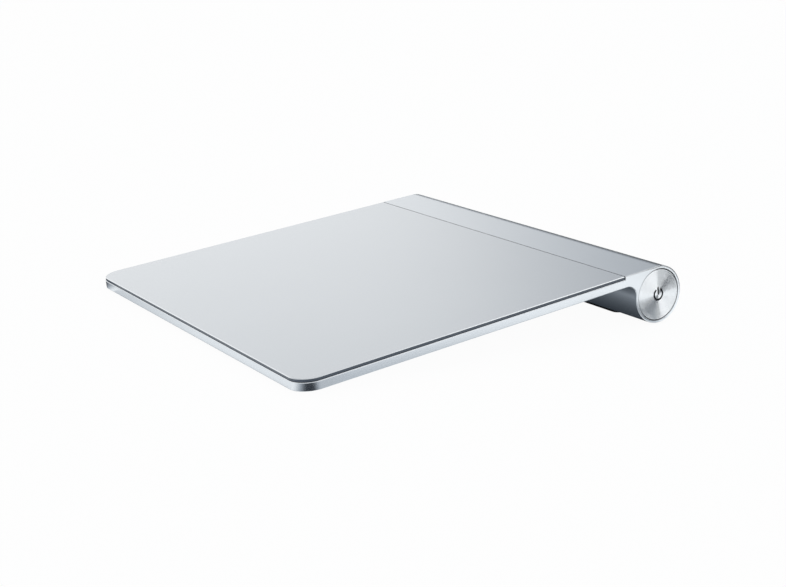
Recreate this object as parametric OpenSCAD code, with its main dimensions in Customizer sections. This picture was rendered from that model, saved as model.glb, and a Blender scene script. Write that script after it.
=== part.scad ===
// Desk touch pad. A sheet of touch glass is bonded on a thin aluminium plate, and a tube along
// the plate's rear edge holds two cells, the radio, a power button and a screw cap.
// Pieces are drawn on the flat plate: x to the right, y back from its front edge, z up from the
// face of the glass. The plate is then tilted onto its feet, which stand on z = 0.

/* [Body] */
// Thickness of the plate with its glass
plate_t = 3.5; // [3.4:0.1:5]
// From the plate's front edge to the axis of the tube
tube_y = 121.5; // [100:0.5:140]
// From the seam behind the glass to the axis of the tube
bar_l = 12.5; // [11:0.1:16]
// Wall of the tube
tube_wall = 0.85; // [0.75:0.05:1.5]
// Plan radius of the two front corners
corner_r = 6.2; // [2:0.1:9]
// Radius of the hollow under the plate in front of the tube
fillet_r = 3.5; // [1:0.1:5]
// Width of the rim that carries the glass
rim_w = 3; // [2:0.1:4]
// Plan radius of the pocket inside the rim
pocket_r = 4; // [1:0.1:6]
// Play between fixed pieces and their seats
seat_gap = 0.05; // [0.02:0.01:0.1]

/* [Touch surface] */
// Thickness of the glass
glass_t = 0.9; // [0.6:0.05:1]
// Width of the seam behind the glass
seam_gap = 0.2; // [0.1:0.05:0.4]
// Set-back of the glass from the plate's edges
glass_inset = 0.15; // [0.1:0.05:0.5]
// Thickness of the bonding film
film_t = 0.1; // [0.05:0.01:0.15]
// Set-back of the film from the edge of the glass
film_inset = 0.2; // [0.1:0.05:0.5]
// Thickness of the sensor board
board_t = 0.6; // [0.4:0.05:0.7]
// Play of the sensor board round its edge
board_gap = 0.3; // [0.1:0.05:0.5]
// Air under the sensor board
board_air = 0.1; // [0.05:0.01:0.15]

/* [Sensor electronics] */
// From the rear end of the pocket to the well for the chips
chip_back = 4; // [3:0.5:20]
// Length of that well, front to back
chip_well_l = 22; // [21:0.5:26]
// Width of the well for the chips
chip_well_w = 40; // [36:1:60]
// Depth of the well under the sensor board
chip_well_deep = 1.1; // [1:0.05:1.3]
// Side of the touch controller
controller_side = 8; // [6:0.5:10]
// Side of its companion chip
companion_side = 5; // [4:0.5:6]
// Height of both chips
chip_h = 0.85; // [0.6:0.05:0.9]
// Small parts in a row
small_parts = 8; // [2:1:10]
// Length of a small part
small_l = 1.6; // [1:0.1:2]
// Width of a small part
small_w = 0.8; // [0.5:0.1:1.2]
// Height of a small part
small_h = 0.6; // [0.3:0.05:0.8]

/* [Click feet] */
// From the side of the plate to the centre of a foot
foot_inset = 15.6; // [15:0.1:25]
// From the plate's front edge to the centre of a foot
foot_y = 12; // [11:0.5:16]
// How far a foot stands below the plate at its centre
foot_drop = 2.3; // [2.2:0.05:3]
// Diameter of a foot's stem
foot_d = 10; // [8:0.1:11]
// Running clearance round the stem
foot_gap = 0.1; // [0.05:0.01:0.15]
// How far the stem alone stands below the plate
stem_drop = 0.3; // [0.3:0.05:0.4]
// Diameter of the rubber pad under the stem
pad_d = 9.4; // [7:0.1:9.4]
// Diameter of the flange that keeps the stem in the plate
flange_d = 12.4; // [12:0.1:13]
// Thickness of the flange
flange_t = 0.35; // [0.25:0.05:0.4]
// Clearance round the flange
flange_gap = 0.3; // [0.2:0.05:0.4]
// Thickness of the strap over a foot's well
bracket_t = 0.35; // [0.3:0.01:0.4]
// Length of the strap
bracket_l = 21; // [20:0.5:22]
// Width of the strap
bracket_w = 7; // [7:0.5:9]
// Thickness of a click switch's base
switch_t = 0.1; // [0.08:0.01:0.12]
// Diameter of a click switch's base
switch_d = 6.6; // [6:0.1:6.8]
// Diameter of a switch dome
dome_d = 5.6; // [4:0.1:6]
// Height of a switch dome
dome_h = 0.35; // [0.3:0.05:0.4]
// Thickness of a switch dome
dome_t = 0.1; // [0.06:0.01:0.12]
// Play between a dome and what presses it
dome_gap = 0.05; // [0.04:0.01:0.06]

/* [Rear strip] */
// Length of the rubber strip under the tube
strip_l = 100; // [60:1:110]
// Width of the strip
strip_w = 4.4; // [3:0.1:5]
// How far the strip stands below the tube
strip_drop = 0.4; // [0.3:0.05:1]
// Depth of its groove at the middle
strip_groove = 0.35; // [0.3:0.01:0.4]

/* [Ribbon] */
// Width of the ribbon
ribbon_w = 6; // [4:0.1:7]
// Thickness of the ribbon
ribbon_t = 0.15; // [0.1:0.01:0.18]
// Side play of the ribbon in its channel
ribbon_gap = 0.4; // [0.2:0.05:0.5]
// From the rear end of the pocket to the front of the well for the ribbon's socket
socket_back = 16; // [14:0.5:20]
// Width of that well
socket_well_w = 12; // [10:0.5:13]
// Length of that well, front to back
socket_well_l = 6.5; // [5:0.5:8]
// Length of the ribbon's socket
socket_l = 9; // [8:0.1:9.5]
// Width of the ribbon's socket
socket_w = 3; // [2:0.1:4]
// Height of the ribbon's socket
socket_h = 0.8; // [0.7:0.05:0.9]
// Height of the channel through the web
channel_h = 0.6; // [0.4:0.05:0.7]
// From the rear end of the pocket to the bar across the ribbon
clamp_back = 4.5; // [3:0.5:6]
// Length of the bar
clamp_l = 14.4; // [13.8:0.1:15]
// Width of the bar
clamp_w = 3; // [2.6:0.1:4]
// Thickness of the bar
clamp_t = 0.35; // [0.3:0.01:0.4]

/* [Screws] */
// Diameter of the screws
screw_d = 1.2; // [1:0.1:1.3]
// Diameter of their countersunk heads
screw_head_d = 2; // [1.8:0.1:2.2]
// Length of the shank below the head
screw_l = 0.9; // [0.7:0.05:1]
// From the end of a strap or bar to its screw
screw_edge = 1.7; // [1.5:0.1:2]

/* [Cells] */
// Diameter of a cell
cell_d = 14.2; // [13.5:0.1:15]
// Length of a cell with its button
cell_l = 50.5; // [44:0.1:58]
// Diameter of a cell's button
cell_button_d = 5.3; // [4.5:0.1:5.5]
// Height of a cell's button
cell_button_h = 1.3; // [1:0.1:1.6]
// Radial play of a cell in its sleeve
cell_gap = 0.2; // [0.1:0.05:0.3]
// Thickness of the sleeve
sleeve_t = 0.6; // [0.4:0.05:0.8]

/* [Battery cap] */
// How far the cap sits inside the end of the tube
cap_recess = 0.2; // [0:0.05:0.5]
// Radial clearance of the cap's rim
cap_gap = 0.1; // [0.05:0.01:0.15]
// Thickness of the cap's rim
cap_rim_t = 1.6; // [1.4:0.1:2]
// Length of the cap with its neck
cap_l = 6.5; // [5.5:0.1:7]
// Radial step from the rim to the neck
cap_step = 0.25; // [0.1:0.05:0.4]
// Diameter of the hollow in the neck
cap_hollow_d = 12.4; // [12:0.1:13]
// Width of the coin slot
coin_slot_w = 2; // [1.5:0.1:2.5]
// Depth of the coin slot
coin_slot_deep = 1; // [0.6:0.1:1.2]
// Radius of the coin slot's round bottom
coin_r = 7; // [6:0.5:12]
// Thickness of the spring's cup
cup_t = 0.25; // [0.2:0.05:0.4]
// Height of the spring's cup
cup_h = 2; // [1:0.1:3]
// Length of the spring in place
spring_l = 6.6; // [6:0.1:7]
// Thickness of its wire
wire_d = 0.8; // [0.6:0.05:0.9]
// Radius of the spring in its cup
spring_cup_r = 5.2; // [5:0.05:5.4]
// Radius of the spring at the cell
spring_cell_r = 3; // [2.5:0.1:3.4]
// Open turns of the spring
spring_turns = 3; // [2:1:3]
// Gap that keeps the spring clear of the cell
spring_gap = 0.05; // [0.02:0.01:0.1]

/* [Power button] */
// How far the button sits inside the end of the tube
button_recess = 0.2; // [0:0.05:0.5]
// Radial clearance of the button
button_gap = 0.1; // [0.05:0.01:0.15]
// Thickness of the button's face
button_t = 1.2; // [1:0.1:1.5]
// Length of the button with its skirt
button_l = 3.2; // [3:0.1:4]
// Thickness of the skirt
skirt_t = 0.8; // [0.6:0.1:1]
// Bevel round the button's face
button_bevel = 0.15; // [0.1:0.05:0.3]
// Travel of the button
button_travel = 0.3; // [0.2:0.01:0.3]
// Diameter of the post on the switch
post_d = 2.4; // [2:0.1:3]
// Thickness of the button's two legs
leg_t = 1.2; // [1:0.05:1.3]
// Width of the legs
leg_w = 2.4; // [1.8:0.1:2.6]
// From the axis to the inner side of a leg
leg_in = 4.4; // [4.2:0.1:4.6]
// Height of the legs above the axis
leg_z = 2; // [1.6:0.1:2.4]
// Reach of the hooks on the legs
hook_reach = 0.5; // [0.35:0.05:0.6]
// Length of the hooks
hook_l = 0.8; // [0.5:0.05:1]
// Clearance of the legs in their windows
leg_gap = 0.2; // [0.15:0.05:0.3]
// Play of the hooks behind the carrier
hook_gap = 0.05; // [0.03:0.01:0.06]

/* [Radio] */
// Length of the radio's bay between the carrier's wall and head
radio_bay = 13.8; // [12:0.1:20]
// Thickness of the carrier's head
head_t = 2; // [1.6:0.1:2.4]
// Room between the pressed button and the carrier
head_room = 0.35; // [0.3:0.05:0.5]
// Thickness of the carrier's wall at the cells
wall_t = 1.5; // [1:0.1:2]
// Height of the radio board's underside from the axis
radio_z = -1; // [-1.2:0.1:-0.9]
// Width of the radio board
radio_w = 14.4; // [13.6:0.1:15]
// Thickness of the radio board
radio_t = 0.8; // [0.6:0.05:1]
// Clearance at the radio board's two ends
radio_gap = 0.3; // [0.25:0.05:0.4]
// Width of the trough under the radio board
trough_w = 10; // [6:0.5:11]
// Depth of the trough
trough_deep = 4; // [2:0.1:4.5]
// Width of the shield can
shield_w = 6.2; // [5.8:0.1:6.4]
// Height of the shield can
shield_h = 1.3; // [1.2:0.05:1.4]
// Length of the shield can
shield_l = 9; // [7:0.5:9.5]
// Sheet thickness of the shield can
shield_t = 0.15; // [0.1:0.01:0.2]
// From the axis to the shield can
shield_y = 0.4; // [0.2:0.1:0.6]
// Side of the radio chip
radio_chip_side = 5; // [4:0.1:5.2]
// Height of the radio chip
radio_chip_h = 0.8; // [0.6:0.05:0.9]
// Length of the radio's ribbon socket
radio_socket_l = 8; // [7.5:0.1:8.5]
// Width of the radio's ribbon socket
radio_socket_w = 2.4; // [2:0.1:3]
// Height of the radio's ribbon socket
radio_socket_h = 1; // [0.8:0.05:1.2]
// From the axis to the mouth of that socket
radio_socket_y = -2.8; // [-3:0.1:-2.7]
// From the axis to where the ribbon turns down
ribbon_turn_y = -2.5; // [-2.6:0.05:-2.4]
// Diameter of the contact plate
contact_d = 9; // [7:0.1:11]
// Thickness of the contact plate
contact_t = 0.3; // [0.2:0.05:0.4]
// Width of the contact's tab
tab_w = 3; // [2:0.1:4]
// How far the tab reaches onto the board
tab_reach = 1.2; // [1:0.1:1.4]
// Inner radius of the aerial strip
aerial_in_r = 5.6; // [5:0.1:6]
// Outer radius of the aerial strip
aerial_out_r = 6.6; // [6.2:0.1:6.7]
// Sheet thickness of the aerial strip
aerial_t = 0.2; // [0.1:0.01:0.2]
// Sweep of the aerial strip
aerial_sweep = 140; // [60:5:170]
// Side of the power switch's base
power_side = 6; // [5.8:0.1:6.6]
// Thickness of the power switch's base
power_t = 0.5; // [0.4:0.05:0.6]

/* [Hidden] */
$fn = 96;
// How far a cutting shape runs past what it cuts
past = 1;
// Sides of the large circles that short arcs are cut from
ball_sides = 1440;
// The cells and the pieces at both ends set the length of the tube and so the plate's width
left_end_l = cap_recess + cap_rim_t + cup_t + spring_l;
carrier_l = contact_t + wall_t + radio_bay + head_t;
right_end_l = head_room + button_travel + button_l + button_recess;
body_w = left_end_l + 2 * cell_l + carrier_l + right_end_l;
half_w = body_w / 2;
bore_r = cell_d / 2 + cell_gap + sleeve_t + seat_gap;
tube_r = bore_r + tube_wall;

// Heights in the plate, from the face of the glass down
glass_z = -glass_t;
rim_z = glass_z - film_t;
board_z = rim_z - board_t;
floor_z = board_z - board_air;
bracket_z = floor_z - bracket_t;
switch_z = bracket_z - switch_t;
flange_z = switch_z - dome_h - dome_gap;
well_z = flange_z - flange_t;
under_z = -plate_t;
chip_well_z = board_z - chip_well_deep;
clamp_z = floor_z - clamp_t;
channel_z = clamp_z - ribbon_t;

// Places along the plate, from the rear edge forwards
seam_y = tube_y - bar_l;
pocket_back = seam_y - rim_w;
chip_well_y = pocket_back - chip_back - chip_well_l;
socket_well_y = pocket_back - socket_back;
clamp_y = pocket_back - clamp_back;

// The stance: the pads and the strip share the plane z = 0
stance_run = tube_y - foot_y;
stance_rise = tube_r - plate_t - foot_drop;
tilt = asin((tube_r + strip_drop) / norm([stance_run, stance_rise])) + atan2(stance_rise, stance_run);
plate_z = tube_r + strip_drop - tube_y * sin(tilt) + tube_r * cos(tilt);
front_reach = min(-rim_z * sin(tilt), glass_inset * cos(tilt));
axis_reach = tube_y * cos(tilt) + tube_r * sin(tilt);
plate_y = -(front_reach + axis_reach + tube_r) / 2;
strip_y = plate_y + axis_reach;
foot_x = half_w - foot_inset;

// The hollow fillet touches the plate's underside here and the tube on the line of centres
fillet_y = tube_y - sqrt(pow(tube_r + fillet_r, 2) - pow(tube_r - plate_t - fillet_r, 2));

// Places along the tube, from the left end to the right
cap_x = -half_w + cap_recess;
cup_x = cap_x + cap_rim_t;
neck_x = cap_x + cap_l;
cell_x = cup_x + cup_t + spring_l;
contact_x = cell_x + 2 * cell_l;
wall_x = contact_x + contact_t;
button_x = half_w - button_recess;
skirt_x = button_x - button_l;
cradle_x = wall_x + wall_t;
head_x = cradle_x + radio_bay;
carrier_r = bore_r - seat_gap;
radio_top = radio_z + radio_t;
power_dome_x = head_x + head_t + power_t;
radio_x = [cradle_x + radio_gap, head_x - hook_gap - hook_l - radio_gap];
radio_mid_x = (radio_x[0] + radio_x[1]) / 2;
ribbon_x = radio_mid_x;

// The ribbon turns from its channel down to the radio's socket
ribbon_mid_z = channel_z + ribbon_t / 2 + tube_r;
ribbon_end_z = radio_top + radio_socket_h / 2;
ribbon_turn_r = (ribbon_mid_z - ribbon_end_z) / 2;

// Places the flat plate in the stance
module on_plate() {
    translate([0, plate_y, plate_z])
        rotate([tilt, 0, 0])
            children();
}

// Places pieces on the axis of the tube, at its middle
module in_tube() {
    on_plate()
        translate([0, tube_y, -tube_r])
            children();
}

// Places pieces at a foot: side is -1 for the left and 1 for the right
module at_foot(side) {
    on_plate()
        translate([side * foot_x, foot_y, 0])
            children();
}

// Runs a section, drawn in y and z, along x
module along_x(length) {
    rotate([90, 0, 90])
        linear_extrude(length, center = true)
            children();
}

// A round bar along the tube between two places
module bar(from, to, r) {
    translate([from, 0, 0])
        rotate([0, 90, 0])
            cylinder(h = to - from, r = r);
}

// A block between two corners
module block(low, high) {
    translate(low)
        cube(high - low);
}

// A plan with its four corners rounded
module rounded_plan(low, high, r) {
    translate([low[0] + r, low[1]])
        square([high[0] - low[0] - 2 * r, high[1] - low[1]]);
    translate([low[0], low[1] + r])
        square([high[0] - low[0], high[1] - low[1] - 2 * r]);
    for (x = [low[0] + r, high[0] - r], y = [low[1] + r, high[1] - r])
        translate([x, y])
            circle(r);
}

// A plan with square rear corners, set in from the plate's edges
module front_rounded_plan(inset, back) {
    r = corner_r - inset;
    w = half_w - inset;
    translate([-w, inset + r])
        square([2 * w, back - inset - r]);
    translate([r - w, inset])
        square([2 * (w - r), r + past]);
    for (side = [-1, 1])
        translate([side * (w - r), inset + r])
            circle(r);
}

// Plate, step behind the glass, and tube, as one extruded section with a hollow fillet
module body_section() {
    difference() {
        polygon([
            [0, under_z],
            [fillet_y, under_z],
            [fillet_y, under_z - fillet_r],
            [tube_y, -tube_r],
            [tube_y, 0],
            [seam_y, 0],
            [seam_y, rim_z],
            [0, rim_z]
        ]);
        translate([fillet_y, under_z - fillet_r])
            circle(fillet_r);
    }
    translate([tube_y, -tube_r])
        circle(tube_r);
}

// What is milled off a front corner
module corner_cut(side) {
    mirror([side < 0 ? 1 : 0, 0, 0])
        translate([half_w - corner_r, 0, under_z - past])
            difference() {
                translate([0, -past, 0])
                    cube([corner_r + past, corner_r + past, plate_t]);
                translate([0, corner_r, -past])
                    cylinder(h = plate_t + 2 * past, r = corner_r);
            }
}

// The well of a foot, with its hole, the seat of its strap and two screw holes
module foot_well(side) {
    translate([side * foot_x, foot_y, 0]) {
        translate([0, 0, well_z])
            cylinder(h = plate_t, d = flange_d + 2 * flange_gap);
        translate([0, 0, under_z - past])
            cylinder(h = plate_t, d = foot_d + 2 * foot_gap);
        strap_seat([bracket_l, bracket_w], bracket_z);
    }
}

// The seat of a strap or bar, and its screw holes
module strap_seat(size, z) {
    half = [size[0] / 2 + seat_gap, size[1] / 2 + seat_gap];
    block([-half[0], -half[1], z], [half[0], half[1], past]);
    at_screws(size[0])
        translate([0, 0, z - screw_l])
            cylinder(h = screw_l + past, d = screw_d);
}

// The two screws of a strap or bar
module at_screws(length) {
    for (side = [-1, 1])
        translate([side * (length / 2 - screw_edge), 0, 0])
            children();
}

// A countersunk screw, flush with the top of a strap of thickness t
module screw(t) {
    translate([0, 0, -t - screw_l])
        cylinder(h = screw_l + t, d = screw_d);
    translate([0, 0, -t])
        cylinder(h = t, d1 = screw_d, d2 = screw_head_d);
}

// A strap with two countersunk holes, its top at z = 0
module strap(size, t) {
    difference() {
        block([-size[0] / 2, -size[1] / 2, -t], [size[0] / 2, size[1] / 2, 0]);
        at_screws(size[0])
            screw(t);
    }
}

// A sprung metal dome that stands on z = 0, part of a large hollow ball
module dome(d, h) {
    ball_r = (d * d / 4 + h * h) / (2 * h);
    rotate_extrude()
        intersection() {
            translate([0, h - ball_r])
                difference() {
                    circle(ball_r, $fn = ball_sides);
                    circle(ball_r - dome_t, $fn = ball_sides);
                }
            square([d / 2, h + past]);
        }
}

module aluminium_body() {
    color("#c9ccd1")
        difference() {
            on_plate()
                difference() {
                    along_x(body_w)
                        body_section();
                    for (side = [-1, 1]) {
                        corner_cut(side);
                        foot_well(side);
                    }
                    translate([0, 0, floor_z])
                        linear_extrude(plate_t)
                            rounded_plan([rim_w - half_w, rim_w], [half_w - rim_w, pocket_back], pocket_r);
                    block(
                        [-chip_well_w / 2, chip_well_y, chip_well_z],
                        [chip_well_w / 2, chip_well_y + chip_well_l, past]
                    );
                    ribbon_ways();
                    translate([0, tube_y, -tube_r])
                        bar(-half_w - past, half_w + past, bore_r);
                }
            strip_shape();
        }
}

// Socket well, ribbon channel through the web, and the seat of the bar across it
module ribbon_ways() {
    channel_w = ribbon_w / 2 + ribbon_gap;
    translate([ribbon_x, 0, 0]) {
        block(
            [-socket_well_w / 2, socket_well_y, chip_well_z],
            [socket_well_w / 2, socket_well_y + socket_well_l, past]
        );
        block(
            [-channel_w, socket_well_y + past, channel_z],
            [channel_w, tube_y + ribbon_turn_y, channel_z + channel_h]
        );
        translate([0, clamp_y, 0])
            strap_seat([clamp_l, clamp_w], clamp_z);
    }
}

module touch_glass() {
    color("#dfe3ea")
        on_plate()
            translate([0, 0, glass_z])
                linear_extrude(glass_t)
                    front_rounded_plan(glass_inset, seam_y - seam_gap);
}

module glass_adhesive() {
    color("#1b1c1f")
        on_plate()
            translate([0, 0, rim_z])
                linear_extrude(film_t)
                    front_rounded_plan(glass_inset + film_inset, seam_y - seam_gap - film_inset);
}

module sensor_board() {
    edge = rim_w + board_gap;
    color("#22603f")
        on_plate()
            translate([0, 0, board_z])
                linear_extrude(board_t)
                    rounded_plan(
                        [edge - half_w, edge], [half_w - edge, pocket_back - board_gap], pocket_r - board_gap
                    );
}

module sensor_chips() {
    mid = chip_well_y + chip_well_l / 2;
    pitch = chip_well_w / (small_parts + 2);
    color("#26272a")
        on_plate()
            translate([0, mid, board_z]) {
                translate([-chip_well_w / 4, 0, 0])
                    chip([controller_side, controller_side, chip_h]);
                translate([chip_well_w / 4, 0, 0])
                    chip([companion_side, companion_side, chip_h]);
                for (i = [1 : small_parts])
                    translate([(i - (small_parts + 1) / 2) * pitch, controller_side, 0])
                        chip([small_l, small_w, small_h]);
            }
}

// A package that hangs under a board at z = 0
module chip(size) {
    translate([-size[0] / 2, -size[1] / 2, -size[2]])
        cube(size);
}

module ribbon_socket() {
    color("#d8d2c0")
        on_plate()
            translate([ribbon_x, socket_well_y + socket_well_l / 2, board_z])
                chip([socket_l, socket_w, socket_h]);
}

// The ribbon's section along its length: a flat run, a half turn down, and its end in the socket
module ribbon_cable() {
    run = tube_y + ribbon_turn_y - socket_well_y - (socket_well_l + socket_w) / 2;
    color("#c58a3a")
        in_tube()
            translate([ribbon_x, 0, 0])
                along_x(ribbon_w) {
                    translate([ribbon_turn_y - run, ribbon_mid_z - ribbon_t / 2])
                        square([run, ribbon_t]);
                    translate([ribbon_turn_y, ribbon_mid_z - ribbon_turn_r])
                        intersection() {
                            difference() {
                                circle(ribbon_turn_r + ribbon_t / 2);
                                circle(ribbon_turn_r - ribbon_t / 2);
                            }
                            translate([0, -2 * ribbon_turn_r])
                                square([2 * ribbon_turn_r, 4 * ribbon_turn_r]);
                        }
                    translate([radio_socket_y, ribbon_end_z - ribbon_t / 2])
                        square([ribbon_turn_y - radio_socket_y, ribbon_t]);
                }
}

module ribbon_clamp() {
    color("#a9adb3")
        on_plate()
            translate([ribbon_x, clamp_y, floor_z])
                strap([clamp_l, clamp_w], clamp_t);
}

module clamp_screws() {
    color("#8d9197")
        on_plate()
            translate([ribbon_x, clamp_y, floor_z])
                at_screws(clamp_l)
                    screw(clamp_t);
}

module switch_bracket(side) {
    color("#a9adb3")
        at_foot(side)
            translate([0, 0, floor_z])
                strap([bracket_l, bracket_w], bracket_t);
}

module left_switch_bracket() {
    switch_bracket(-1);
}

module right_switch_bracket() {
    switch_bracket(1);
}

module bracket_screws() {
    color("#8d9197")
        for (side = [-1, 1])
            at_foot(side)
                translate([0, 0, floor_z])
                    at_screws(bracket_l)
                        screw(bracket_t);
}

module click_switch(side) {
    color("#c58a3a")
        at_foot(side)
            translate([0, 0, switch_z])
                cylinder(h = switch_t, d = switch_d);
}

module left_click_switch() {
    click_switch(-1);
}

module right_click_switch() {
    click_switch(1);
}

module click_dome(side) {
    color("#c7cace")
        at_foot(side)
            translate([0, 0, switch_z])
                mirror([0, 0, 1])
                    dome(dome_d, dome_h);
}

module left_click_dome() {
    click_dome(-1);
}

module right_click_dome() {
    click_dome(1);
}

module foot_plunger(side) {
    color("#3a3b3e")
        at_foot(side) {
            translate([0, 0, well_z])
                cylinder(h = flange_t, d = flange_d);
            translate([0, 0, under_z - stem_drop])
                cylinder(h = well_z + flange_t - under_z + stem_drop, d = foot_d);
        }
}

module left_foot_plunger() {
    foot_plunger(-1);
}

module right_foot_plunger() {
    foot_plunger(1);
}

// The pad is a short cylinder, cut level where it stands
module foot_pad(side) {
    color("#2a2a2c")
        difference() {
            at_foot(side)
                translate([0, 0, under_z - 3 * foot_drop])
                    cylinder(h = 3 * foot_drop - stem_drop, d = pad_d);
            block([-body_w, -body_w, -body_w], [body_w, body_w, 0]);
        }
}

module left_foot_pad() {
    foot_pad(-1);
}

module right_foot_pad() {
    foot_pad(1);
}

// The strip's shape, with round ends, let into the tube
module strip_shape() {
    reach = (strip_l - strip_w) / 2;
    translate([0, strip_y, 0])
        linear_extrude(strip_drop + strip_groove) {
            square([2 * reach, strip_w], center = true);
            for (side = [-1, 1])
                translate([side * reach, 0])
                    circle(d = strip_w);
        }
}

module rear_foot_strip() {
    color("#2a2a2c")
        strip_shape();
}

module battery_sleeve() {
    color("#e8e4d8")
        in_tube()
            difference() {
                bar(neck_x + 2 * seat_gap, wall_x, carrier_r);
                bar(neck_x - past, wall_x + past, cell_d / 2 + cell_gap);
            }
}

module cell(from) {
    in_tube() {
        bar(from, from + cell_l - cell_button_h, cell_d / 2);
        bar(from, from + cell_l, cell_button_d / 2);
    }
}

module inner_battery() {
    color("#4a7f5b")
        cell(cell_x + cell_l);
}

module outer_battery() {
    color("#4a7f5b")
        cell(cell_x);
}

// The contact's tab, which runs through the carrier's wall onto the board
module contact_tab(gap) {
    block(
        [contact_x, -tab_w / 2 - gap, radio_top - gap],
        [cradle_x + tab_reach, tab_w / 2 + gap, radio_top + contact_t + gap]
    );
}

module positive_contact() {
    color("#c9a24a")
        in_tube() {
            bar(contact_x, wall_x, contact_d / 2);
            contact_tab(0);
        }
}

// Both legs of the button: each is drawn on the right and mirrored
module at_legs() {
    for (side = [0, 1])
        mirror([0, side, 0])
            translate([0, leg_in, leg_z])
                children();
}

module end_carrier() {
    color("#34363a")
        in_tube()
            difference() {
                bar(wall_x, head_x + head_t, carrier_r);
                block([cradle_x, -bore_r, radio_z], [head_x, bore_r, bore_r]);
                block(
                    [cradle_x + past, -trough_w / 2, radio_z - trough_deep],
                    [head_x - past, trough_w / 2, 0]
                );
                contact_tab(seat_gap);
                at_legs()
                    block(
                        [head_x - past, -leg_gap, -leg_w / 2 - leg_gap],
                        [head_x + head_t + past, leg_t + leg_gap, leg_w / 2 + leg_gap]
                    );
            }
}

module radio_board() {
    color("#22603f")
        in_tube()
            block([radio_x[0], -radio_w / 2, radio_z], [radio_x[1], radio_w / 2, radio_top]);
}

module radio_chip() {
    color("#26272a")
        in_tube()
            translate([radio_mid_x, shield_y + shield_w / 2, radio_top + radio_chip_h])
                chip([radio_chip_side, radio_chip_side, radio_chip_h]);
}

module radio_shield() {
    low = [radio_mid_x - shield_l / 2, shield_y, radio_top];
    high = low + [shield_l, shield_w, shield_h];
    sheet = [shield_t, shield_t, shield_t];
    color("#b4b8bd")
        in_tube()
            difference() {
                block(low, high);
                block(low + [shield_t, shield_t, -past], high - sheet);
            }
}

module radio_socket() {
    color("#d8d2c0")
        in_tube()
            translate([
                ribbon_x, radio_socket_y - radio_socket_w / 2, radio_top + radio_socket_h
            ])
                chip([radio_socket_l, radio_socket_w, radio_socket_h]);
}

module antenna() {
    color("#c9a24a")
        in_tube()
            translate([head_x + head_t, 0, 0])
                rotate([0, 90, 0])
                    rotate([0, 0, -aerial_sweep / 2])
                        rotate_extrude(angle = aerial_sweep)
                            translate([aerial_in_r, 0])
                                square([aerial_out_r - aerial_in_r, aerial_t]);
}

module power_switch() {
    color("#26272a")
        in_tube()
            block(
                [head_x + head_t, -power_side / 2, -power_side / 2],
                [power_dome_x, power_side / 2, power_side / 2]
            );
}

module power_dome() {
    color("#c7cace")
        in_tube()
            translate([power_dome_x, 0, 0])
                rotate([0, 90, 0])
                    dome(dome_d, dome_h);
}

// The button's face and skirt as radius and place along the tube
module button_section() {
    r = bore_r - button_gap;
    polygon([
        [0, button_x],
        [r - button_bevel, button_x],
        [r, button_x - button_bevel],
        [r, skirt_x],
        [r - skirt_t, skirt_x],
        [r - skirt_t, button_x - button_t],
        [0, button_x - button_t]
    ]);
}

module power_button() {
    hook_x = head_x - hook_gap;
    color("#d3d6da")
        in_tube() {
            rotate([0, 90, 0])
                rotate_extrude()
                    button_section();
            bar(power_dome_x + dome_h + dome_gap, button_x - button_t / 2, post_d / 2);
            at_legs() {
                block(
                    [hook_x - hook_l, 0, -leg_w / 2],
                    [button_x - button_t / 2, leg_t, leg_w / 2]
                );
                block(
                    [hook_x - hook_l, 0, -leg_w / 2],
                    [hook_x, leg_t + hook_reach, leg_w / 2]
                );
            }
        }
}

// The spring: a flat turn in the cup, open turns that narrow, and a flat turn at the cell
spring_steps = 20;
spring_sides = 8;
spring_rings = (spring_turns + 2) * spring_steps;
spring_ends = [cup_x + cup_t + wire_d / 2, cell_x - spring_gap - wire_d / 2];

function spring_share(i) = min(1, max(0, (i / spring_steps - 1) / spring_turns));
// The flat end turns tighten inwards by a wire and a half, so that they clear themselves
function spring_curl(i) = (i / spring_steps) / (spring_turns + 2);
function spring_radius(i) = spring_cup_r + (spring_cell_r - spring_cup_r) * spring_curl(i);
function spring_place(i) = spring_ends[0] + (spring_ends[1] - spring_ends[0]) * spring_share(i);
function spring_ring(i) = [
    for (k = [0 : spring_sides - 1])
        let (
            turn = 360 * i / spring_steps,
            side = 360 * (k + 0.5) / spring_sides,
            reach = spring_radius(i) + wire_d / 2 * cos(side)
        )
        [spring_place(i) + wire_d / 2 * sin(side), reach * cos(turn), reach * sin(turn)]
];

module negative_spring() {
    points = [for (i = [0 : spring_rings]) each spring_ring(i)];
    near_end = [for (k = [0 : spring_sides - 1]) k];
    far_end = [for (k = [spring_sides - 1 : -1 : 0]) spring_rings * spring_sides + k];
    skin = [
        for (i = [0 : spring_rings - 1], k = [0 : spring_sides - 1])
            let (
                a = i * spring_sides + k,
                b = i * spring_sides + (k + 1) % spring_sides
            )
            each [[b, a, a + spring_sides], [b, a + spring_sides, b + spring_sides]]
    ];
    color("#b9bcc1")
        in_tube()
            polyhedron(points, concat([near_end, far_end], skin), convexity = 10);
}

module spring_cup() {
    r = cap_hollow_d / 2 - seat_gap;
    color("#b4b8bd")
        in_tube()
            difference() {
                bar(cup_x, cup_x + cup_h, r);
                bar(cup_x + cup_t, cup_x + cup_h + past, r - cup_t);
            }
}

module battery_cap() {
    rim_r = bore_r - cap_gap;
    color("#d3d6da")
        in_tube()
            difference() {
                union() {
                    bar(cap_x, cap_x + cap_rim_t, rim_r);
                    bar(cap_x, neck_x, rim_r - cap_step);
                }
                bar(cup_x, neck_x + past, cap_hollow_d / 2);
                translate([cap_x + coin_slot_deep - coin_r, 0, 0])
                    cylinder(h = coin_slot_w, r = coin_r, center = true);
            }
}

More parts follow.
